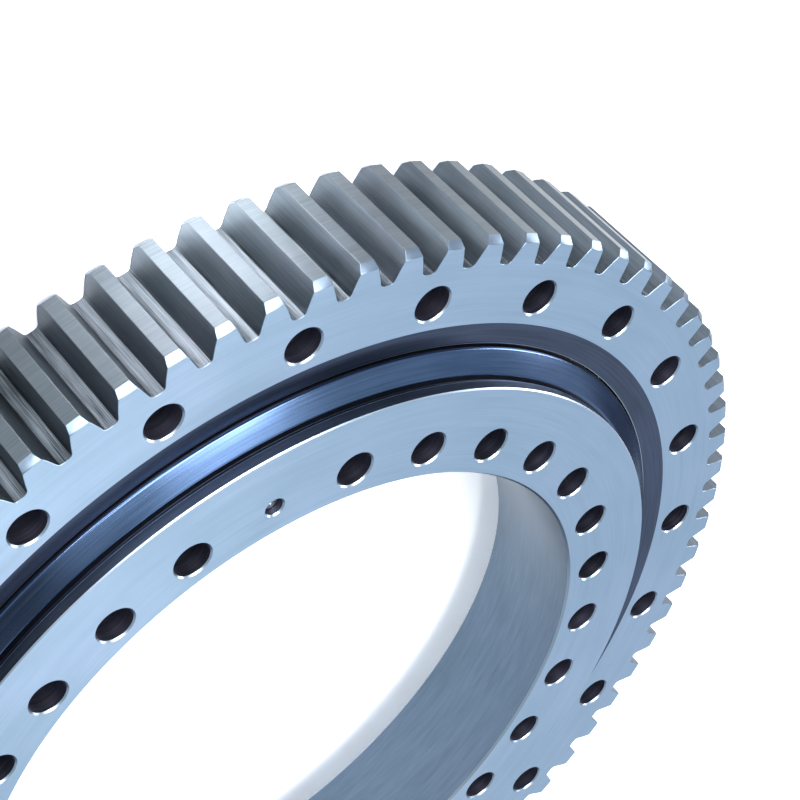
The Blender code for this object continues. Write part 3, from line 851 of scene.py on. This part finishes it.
def pin_piece(settings, finish):
    """The taper pin: a cone with a chamfered end and a centre mark, turned about its own axis."""
    inner = settings.inner
    shell = Shell()
    top, foot = PIN_HIGH.z, PIN_LOW.z
    wide = settings.small.pin_radius
    narrow = wide - (top - foot) / PIN_TAPER
    profile = [
        (0, top - 1.2 * MM),
        (0.5 * MM, top - 0.9 * MM),
        (1.3 * MM, top),
        (wide - 0.8 * MM, top),
        (wide - 0.2 * MM, top - 0.3 * MM),
        (wide, top - 0.9 * MM),
        (narrow, foot + 0.6 * MM),
        (narrow - 0.6 * MM, foot),
        (0, foot),
    ]
    centre = polar(inner.bolt_circle, inner.plug_angle, 0.0)
    shell.grid(turned(profile, full_turn(PIN_COLUMNS)) + centre, finish)
    return shell.build("taper_pin_fine")


def nipple_piece(name, turn, settings, finish):
    """A grease nipple: thread, hexagon, neck and rounded head turned about a radial line."""
    small, wall = settings.small, settings.inner.bore_radius
    shell = Shell()
    steps = np.arange(NIPPLE_THREAD_STEPS)
    thread = small.nipple_thread - np.where(steps % 2, 0, NIPPLE_THREAD_DEPTH)
    along = wall + small.nipple_thread_length - NIPPLE_THREAD_STEP * steps
    screw = list(zip(along, thread))
    hexagon, end = small.nipple_hex, wall - small.nipple_head
    head = [
        (wall - 0.2 * MM, hexagon - 0.5 * MM),
        (wall - 0.5 * MM, hexagon),
        (wall - 3.2 * MM, hexagon),
        (wall - 3.5 * MM, hexagon - 0.6 * MM),
        (wall - 3.6 * MM, 2.9 * MM),
        (wall - 4.6 * MM, 2.4 * MM),
        (wall - 6.4 * MM, 2.4 * MM),
        (wall - 6.8 * MM, 3.1 * MM),
        (wall - 7.6 * MM, 3.2 * MM),
        (wall - 8.4 * MM, 2.6 * MM),
        (end + 0.15 * MM, 1.6 * MM),
        (end + 0.15 * MM, 0.8 * MM),
        (end + 0.9 * MM, 0.0),
    ]
    profile = [(wall + small.nipple_thread_length, 0.0), *screw, *head]
    sides = np.zeros(len(profile), int)
    first_flat = len(screw) + 1
    sides[first_flat : first_flat + NIPPLE_HEX_POINTS] = 6
    shell.grid(beside(*spindle(turn, profile, NIPPLE_COLUMNS, sides)), finish)
    return shell.build(name)


# ---------------------------------------------------------------- finishes


class Wire:
    """An output of a node tree. Expressions of wires and numbers add Math nodes."""

    def __init__(self, tree, socket=None):
        self.tree, self.socket = tree, socket

    def node(self, kind, settings=None, inputs=None, out=0):
        """Adds a node: its settings first, a ramp's stops as (place, colour), then its inputs."""
        made = self.tree.nodes.new(kind)
        for key, value in (settings or {}).items():
            if key == "stops":
                ramp = made.color_ramp.elements
                while len(ramp) < len(value):
                    ramp.new(0.5)
                for stop, (where, tint) in zip(ramp, value):
                    stop.position, stop.color = where, (*tint, 1)
            else:
                setattr(made, key, value)
        for key, value in (inputs or {}).items():
            if isinstance(value, Wire):
                self.tree.links.new(value.socket, made.inputs[key])
            else:
                made.inputs[key].default_value = value
        return Wire(self.tree, made.outputs[out])

    def math(self, operation, *values):
        """Adds a Math node."""
        return self.node("ShaderNodeMath", {"operation": operation}, dict(enumerate(values)))

    def __add__(self, other):
        return self.math("ADD", self, other)

    __radd__ = __add__

    def __sub__(self, other):
        return self.math("SUBTRACT", self, other)

    def __rsub__(self, other):
        return self.math("SUBTRACT", other, self)

    def __mul__(self, other):
        return self.math("MULTIPLY", self, other)

    __rmul__ = __mul__

    def __truediv__(self, other):
        return self.math("DIVIDE", self, other)

    def between(self, low, high):
        """0 at low, 1 at high and a straight line between them."""
        limits = {0: self, 1: low, 2: high, 3: 0.0, 4: 1.0}
        return self.node("ShaderNodeMapRange", {"clamp": True}, limits)

    def blend(self, first, second):
        """The colour first where this wire is 0 and second where it is 1."""
        return self.node("ShaderNodeMix", {"data_type": "RGBA"}, {0: self, 6: first, 7: second}, 2)

    def noise(self, x, y, z, detail=2.0):
        """Smooth noise from 0 to 1 at a point, where 1 is the size of its features."""
        point = self.node("ShaderNodeCombineXYZ", inputs={0: x, 1: y, 2: z})
        return self.node("ShaderNodeTexNoise", inputs={"Vector": point, "Scale": 1.0, "Detail": detail})

    def clouds(self, place, size, detail):
        """Noise with features of the same size in all directions, at a place of three wires."""
        return self.noise(*(part / size for part in place), detail)

    def bump(self, depth):
        """A normal for a surface that this wire raises by up to depth."""
        inputs = {"Strength": 1.0, "Distance": depth, "Height": self}
        return self.node("ShaderNodeBump", inputs=inputs, out="Normal")

    def split(self):
        """The three parts of a vector."""
        return [self.node("ShaderNodeSeparateXYZ", inputs={0: self}, out=part) for part in "XYZ"]


def rgba(tint, gain=1.0):
    """A tint times a gain, at most 1, with full alpha."""
    return (*[min(1.0, part * gain) for part in tint], 1)


def shaded(name, paint):
    """A new material: paint(start, shader inputs) returns the values and wires of its shader's sockets."""
    material = bpy.data.materials.new(name)
    material.use_nodes = True
    tree = material.node_tree
    tree.nodes.clear()
    start = Wire(tree)
    surface = start.node("ShaderNodeBsdfPrincipled", inputs=paint(start))
    output = tree.nodes.new("ShaderNodeOutputMaterial")
    tree.links.new(surface.socket, output.inputs["Surface"])
    return material


def axis_place(start):
    """x, y, z, the distance from the ring's axis, and the cosine and sine of the direction, as wires."""
    x, y, z = start.node("ShaderNodeTexCoord", out="Object").split()
    radius = start.math("SQRT", x * x + y * y)
    return x, y, z, radius, x / radius, y / radius


def machined(name, tint, roughness, marks, spacing, contrast=0.12, depth=4e-6, grain=0.0, spread=0.2):
    """Cut steel. Its marks run round the axis on a face or a wall, or along the axis.

    The marks are noise that is quick across the cut and slow along it. They shift the tint and the
    roughness and raise the surface a little; wide soft patches of handling change the gloss.
    """

    def paint(start):
        x, y, z, radius, cos, sin = axis_place(start)
        if marks in ROUND_MARKS:
            across = radius if marks == "face" else z
            fine_runs, wider, wide_runs = ROUND_MARKS[marks]
            fine = start.noise(across / spacing, cos * fine_runs, sin * fine_runs, 3)
            wide = start.noise(across / (spacing * wider), cos * wide_runs, sin * wide_runs)
        else:
            stretch, wider, wide_length = AXIS_MARKS
            fine = start.noise(x / spacing, y / spacing, z / (spacing * stretch), 4)
            wide = start.noise(x / (spacing * wider), y / (spacing * wider), z / wide_length)
        patches = start.clouds((x, y, z), PATCH_SIZE, 3)
        fine_part, wide_part, patch_part = MARK_WEIGHTS
        marked = fine * fine_part + wide * wide_part + patches * patch_part
        mix = marked.between(0.5 - spread, 0.5 + spread)
        warm = [part * shift for part, shift in zip(tint, WARM_SHIFT)]
        light = patches.between(0.35, 0.65).blend(rgba(tint, 1 + contrast), rgba(warm, 1 + contrast))
        return {
            "Base Color": mix.blend(rgba(tint, 1 - contrast), light),
            "Metallic": 1.0,
            "Roughness": roughness - 0.05 + mix * 0.06 + patches * 0.05,
            "Anisotropic": grain,
            "Anisotropic Rotation": 0.25,
            "Normal": (fine + wide * 0.5).bump(depth),
        }

    return shaded(name, paint)


def polished_ball(name, tint):
    """Ground and lapped steel with a faint haze."""

    def paint(start):
        x, y, z, *_ = axis_place(start)
        haze = start.clouds((x, y, z), HAZE_SIZE, 4)
        return {
            "Base Color": haze.blend(rgba(tint, 0.94), rgba(tint, 1.05)),
            "Metallic": 1.0,
            "Roughness": 0.07 + haze * 0.05,
        }

    return shaded(name, paint)


def moulded(name, tint, roughness, size, depth):
    """Nylon or rubber: a cloudy tint and a fine skin."""

    def paint(start):
        x, y, z, *_ = axis_place(start)
        clouds = start.clouds((x, y, z), CLOUD_SIZE, 3).between(0.3, 0.7)
        skin = start.clouds((x, y, z), size, 3)
        return {
            "Base Color": clouds.blend(rgba(tint, 0.86), rgba(tint, 1.12)),
            "Roughness": roughness + skin * 0.12,
            "Normal": skin.bump(depth),
        }

    return shaded(name, paint)


def pale_floor(name, tint, glow):
    """A matt floor with a faint cloudy tint and a little glow, which keeps the shadows light."""

    def paint(start):
        x, y, *_ = axis_place(start)
        clouds = start.noise(x / FLOOR_CLOUD_SIZE, y / FLOOR_CLOUD_SIZE, 0.0, 3)
        return {
            "Base Color": clouds.blend(rgba(tint, 0.985), rgba(tint, 1.01)),
            "Roughness": 0.8,
            "Emission Color": rgba(tint),
            "Emission Strength": glow,
        }

    return shaded(name, paint)


def ring_finishes(prefix, finish):
    """The finishes of a steel ring by the way each surface was made. Their tints are painted light and
    shade: a painted blue cast on all of them, and painted shade or dark reflection on the bore, shoulder
    band, lip, boss, tips, holes and gap walls.
    """
    face, bright, dark = finish.face_steel_painted_blue_light, finish.chamfer_steel_painted_blue_light, finish.hole_steel_painted_shade
    flank, root, tip = finish.flank_steel, finish.root_steel, finish.tip_steel_painted_shade
    # Tint, roughness, run of the marks, their spacing, contrast and depth, grain, spread.
    recipes = {
        "face": (face, finish.face_roughness, "face", 0.9 * MM, 0.1, 4e-6, 0.4),
        "band": (finish.band_steel_painted_reflection, 0.19, "face", 0.9 * MM, 0.34, 0.8e-6, 0.35),
        "lip": (finish.lip_steel_painted_reflection, 0.3, "face", 1.1 * MM, 0.42, 1.5e-6, 0.3),
        "edge": (bright, 0.3, "face", 0.5 * MM, 0.06, 2e-6),
        "end": (finish.end_steel_painted_blue_light, 0.32, "face", 0.5 * MM, 0.12, 4e-6),
        "tip": (tip, 0.38, "wall", 1.0 * MM, 0.3, 8e-6, 0.2),
        "flank": (flank, finish.flank_roughness, "axis", 0.8 * MM, 0.38, 10e-6),
        "root": (root, 0.42, "axis", 0.5 * MM, 0.7, 16e-6, 0.0, 0.11),
        "hole": (dark, 0.42, "wall", 1.1 * MM, 0.55, 8e-6),
        "countersink": (bright, 0.3, "face", 0.5 * MM),
        "bore": (finish.bore_steel_painted_shade, 0.3, "wall", 1.6 * MM, 0.22, 4e-6, 0.3),
        "boss": (finish.boss_steel_painted_shade, 0.34, "wall", 0.6 * MM, 0.4, 3e-6),
        "land": (finish.gap_steel_painted_shade, 0.36, "wall", 0.6 * MM, 0.15, 3e-6),
        "raceway": (finish.ball_steel, 0.14, "face", 0.4 * MM, 0.05, 1e-6),
    }
    return {key: machined(f"{prefix}_{key}", *recipe) for key, recipe in recipes.items()}


# ---------------------------------------------------------------- operators


class SLEWING_OT_gear_ring(Operator):
    """Build the outer ring with its gear teeth, bolt holes, lip and raceway"""

    bl_idname = "slewing.gear_ring"
    bl_label = "Gear Ring"

    def execute(self, context):
        settings = context.scene.slewing_ring
        piece = outer_ring_piece(settings, ring_finishes("gear_ring", settings.finish))
        place(piece, "outer", "ring_steel", "outer_gear_ring")
        return {"FINISHED"}


class SLEWING_OT_inner_ring(Operator):
    """Build the inner ring with its bolt holes, bore, shoulder and raceway"""

    bl_idname = "slewing.inner_ring"
    bl_label = "Inner Ring"

    def execute(self, context):
        settings = context.scene.slewing_ring
        piece = inner_ring_piece(settings, ring_finishes("inner_ring", settings.finish))
        place(piece, "inner", "ring_steel", "inner_ring")
        return {"FINISHED"}


class SLEWING_OT_balls(Operator):
    """Build the row of balls between the two raceways"""

    bl_idname = "slewing.balls"
    bl_label = "Balls"

    def execute(self, context):
        settings = context.scene.slewing_ring
        finish = polished_ball("polished_ball", settings.finish.ball_steel)
        for name in BALLS:
            low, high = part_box(name)
            piece = ball_piece(name + "_fine", (low + high) / 2, settings.rolling.ball_radius, finish)
            place(piece, "ball_set", "ball_steel", name)
        return {"FINISHED"}


class SLEWING_OT_cage(Operator):
    """Build the four strips that keep the balls apart"""

    bl_idname = "slewing.cage"
    bl_label = "Ball Cage"

    def execute(self, context):
        settings = context.scene.slewing_ring
        finish = moulded("cage_nylon_skin", settings.finish.nylon, 0.38, 1.2 * MM, 8e-6)
        count = len(BALLS) // len(CAGE_NODES)
        for index, name in enumerate(CAGE_NODES):
            low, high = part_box(name)
            strip = (1 + index * count, count, settings.rolling, low.z, high.z, finish)
            place(cage_piece(name + "_fine", *strip), "ball_set", "cage_nylon", name)
        return {"FINISHED"}


class SLEWING_OT_seals(Operator):
    """Build the upper and the lower rubber seal"""

    bl_idname = "slewing.seals"
    bl_label = "Seals"

    def execute(self, context):
        settings = context.scene.slewing_ring
        small = settings.small
        finish = moulded("seal_rubber_skin", settings.finish.rubber, 0.5, 0.5 * MM, 5e-6)
        jobs = (
            ("upper_seal", UPPER_SEAL_LOW, UPPER_SEAL_HIGH, small.upper_seal_width, True, "inner"),
            ("lower_seal", LOWER_SEAL_LOW, LOWER_SEAL_HIGH, small.lower_seal_width, False, "outer"),
        )
        for name, low, high, width, outward, body in jobs:
            size = (high.x - width, high.x, low.z, high.z, small.seal_lip, outward)
            place(seal_piece(name + "_fine", *size, finish), body, "seal_rubber", name)
        return {"FINISHED"}


class SLEWING_OT_loading_plug(Operator):
    """Build the loading plug in the bore and the taper pin that holds it"""

    bl_idname = "slewing.loading_plug"
    bl_label = "Loading Plug and Pin"

    def execute(self, context):
        settings = context.scene.slewing_ring
        steel = settings.finish.plug_steel
        finishes = {
            "face": machined("plug_face", steel, 0.3, "wall", 0.7 * MM, 0.12, 4e-6),
            "side": machined("plug_side", steel, 0.36, "wall", 0.6 * MM, 0.12, 4e-6),
            "hole": machined("plug_thread", settings.finish.hole_steel_painted_shade, 0.4, "wall", 0.6 * MM, 0.2, 4e-6),
        }
        pin = machined("pin_steel", steel, 0.3, "axis", 0.6 * MM, 0.1, 3e-6)
        place(plug_piece(settings, finishes), "inner", "plug_steel", "loading_plug")
        place(pin_piece(settings, pin), "inner", "plug_steel", "plug_taper_pin")
        return {"FINISHED"}


class SLEWING_OT_grease_nipples(Operator):
    """Build the grease nipples in the bore"""

    bl_idname = "slewing.grease_nipples"
    bl_label = "Grease Nipples"

    def execute(self, context):
        settings = context.scene.slewing_ring
        finish = machined("nipple_brass_skin", settings.finish.brass, 0.28, "wall", 0.5 * MM, 0.12, 3e-6)
        for name in NIPPLE_NODES:
            low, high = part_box(name)
            middle = (low + high) / 2
            piece = nipple_piece(name + "_fine", math.atan2(middle.y, middle.x), settings, finish)
            place(piece, "inner", "nipple_brass", name)
        return {"FINISHED"}


def direction(azimuth, elevation):
    """The unit vector at an azimuth from +X and an elevation above the floor."""
    flat = math.cos(elevation)
    return Vector((flat * math.cos(azimuth), flat * math.sin(azimuth), math.sin(elevation)))


def area_light(name, spot, target, power):
    """An area light at a spot, turned to a target and hidden from the camera."""
    lamp = bpy.data.lights.new(name, "AREA")
    lamp.energy = power
    light = bpy.data.objects.new(name, lamp)
    light.location = spot
    light.rotation_euler = (spot - target).to_track_quat("Z", "Y").to_euler()
    light.visible_camera = False
    bpy.context.scene.collection.objects.link(light)
    return lamp


def soft_light(name, azimuth, elevation, distance, width, depth, power, tint=(1, 1, 1)):
    """A rectangular light on a sphere about the ring, pointed at its middle."""
    spot = direction(math.radians(azimuth), math.radians(elevation)) * distance
    lamp = area_light(name, spot, Vector(), power)
    lamp.shape, lamp.size, lamp.size_y, lamp.color = "RECTANGLE", width, depth, tint


def teeth_light():
    """A small light that throws a bright patch on the floor, which nearby tooth tips reflect."""
    name, spot, target, size, spread, power = TEETH_LIGHT
    lamp = area_light(name, Vector(spot), Vector(target), power)
    lamp.shape, lamp.size, lamp.spread = "DISK", size, math.radians(spread)


def studio_camera(studio):
    """A camera on an orbit about the ring's upper face, aimed at a point and rolled as it looks."""
    middle = Vector((0, 0, OUTER_HIGH.z))
    spot = middle + direction(studio.camera_azimuth, studio.camera_elevation) * studio.camera_distance
    ahead = (middle + Vector((studio.aim_x, studio.aim_y, 0)) - spot).normalized()
    level = ahead.cross(Vector((0, 0, 1))).normalized()
    upright = level.cross(ahead)
    right = level * math.cos(studio.camera_roll) + upright * math.sin(studio.camera_roll)
    lens = bpy.data.cameras.new("studio_camera")
    lens.lens = studio.lens
    lens.clip_start, lens.clip_end = 0.01, 50
    camera = bpy.data.objects.new("studio_camera", lens)
    axes = Matrix((right, right.cross(ahead), -ahead)).transposed()
    camera.matrix_world = Matrix.Translation(spot) @ axes.to_4x4()
    bpy.context.scene.collection.objects.link(camera)
    bpy.context.scene.camera = camera


def cone_mask(x, y, z, axis, wide, narrow):
    """1 within the narrow angle of an axis and 0 outside the wide one, in degrees, over directions."""
    near = x * axis[0] + y * axis[1] + z * axis[2]
    return near.between(math.cos(math.radians(wide)), math.cos(math.radians(narrow)))


def studio_world():
    """Soft light from all round, in front of a plain pale backdrop.

    The light's tint changes with the height above the horizon. A flag with one hard side and one
    soft side darkens a part of it, and a spot lifts another.
    """
    world = bpy.data.worlds.new("studio_light")
    world.use_nodes = True
    tree = world.node_tree
    tree.nodes.clear()
    start = Wire(tree)
    x, y, z = start.node("ShaderNodeTexCoord", out="Generated").split()
    sky = start.node("ShaderNodeValToRGB", {"stops": SKY}, {0: z.between(-1, 1)})
    aside = start.math("ABSOLUTE", x)
    flag = y.between(*FLAG_SIDE) * y.between(*FLAG_FADE) * aside.between(*FLAG_WIDTH)
    spot = cone_mask(x, y, z, *BRIGHT_SPOT[:3]) * BRIGHT_SPOT[3]
    strength = 1 - flag * FLAG_STRENGTH + spot
    light = start.node("ShaderNodeBackground", inputs={"Color": sky, "Strength": strength})
    backdrop = start.node("ShaderNodeBackground", inputs={"Color": (*BACKDROP, 1)})
    seen = start.node("ShaderNodeLightPath", out="Is Camera Ray")
    shown = start.node("ShaderNodeMixShader", inputs={0: seen, 1: light, 2: backdrop})
    output = tree.nodes.new("ShaderNodeOutputWorld")
    tree.links.new(shown.socket, output.inputs["Surface"])
    bpy.context.scene.world = world


class SLEWING_OT_studio(Operator):
    """Build the pale floor, the soft lights and the camera"""

    bl_idname = "slewing.studio"
    bl_label = "Studio"

    def execute(self, context):
        studio = context.scene.slewing_ring.studio
        shell = Shell()
        rings = [(0, -FLOOR_GAP), (1, -FLOOR_GAP), (FLOOR_RADIUS, -FLOOR_GAP)]
        finish = pale_floor("pale_floor", studio.floor_colour, studio.floor_glow)
        shell.grid(turned(rings, full_turn(FLOOR_COLUMNS)), finish)
        floor = shell.build("studio_floor")
        studio_world()
        for light in LIGHTS:
            soft_light(*light)
        teeth_light()
        studio_camera(studio)
        context.scene.view_settings.view_transform = "Standard"
        return {"FINISHED"}


class SLEWING_PT_panel(Panel):
    """Lists the pieces of the bearing"""

    bl_idname = "SLEWING_PT_panel"
    bl_label = "Slewing Ring"
    bl_space_type = "VIEW_3D"
    bl_region_type = "UI"
    bl_category = "Slewing Ring"

    def draw(self, context):
        for operator in OPERATORS:
            self.layout.operator(operator.bl_idname)


OPERATORS = (
    SLEWING_OT_gear_ring,
    SLEWING_OT_inner_ring,
    SLEWING_OT_balls,
    SLEWING_OT_cage,
    SLEWING_OT_seals,
    SLEWING_OT_loading_plug,
    SLEWING_OT_grease_nipples,
    SLEWING_OT_studio,
)
GROUPS = (
    GearSizes,
    OuterRingSizes,
    InnerRingSizes,
    RollingSizes,
    SmallPartSizes,
    Finishes,
    StudioSettings,
    SlewingRingSettings,
)
CLASSES = (*GROUPS, *OPERATORS, SLEWING_PT_panel)


def register():
    """Registers the classes and hangs the settings on the scene."""
    for item in CLASSES:
        bpy.utils.register_class(item)
    bpy.types.Scene.slewing_ring = PointerProperty(type=SlewingRingSettings)


def unregister():
    """Takes back what register() did."""
    del bpy.types.Scene.slewing_ring
    for item in reversed(CLASSES):
        bpy.utils.unregister_class(item)


def main():
    """Runs every operator in turn."""
    register()
    for operator in OPERATORS:
        group, name = operator.bl_idname.split(".")
        getattr(getattr(bpy.ops, group), name)()


if __name__ == "__main__":
    main()
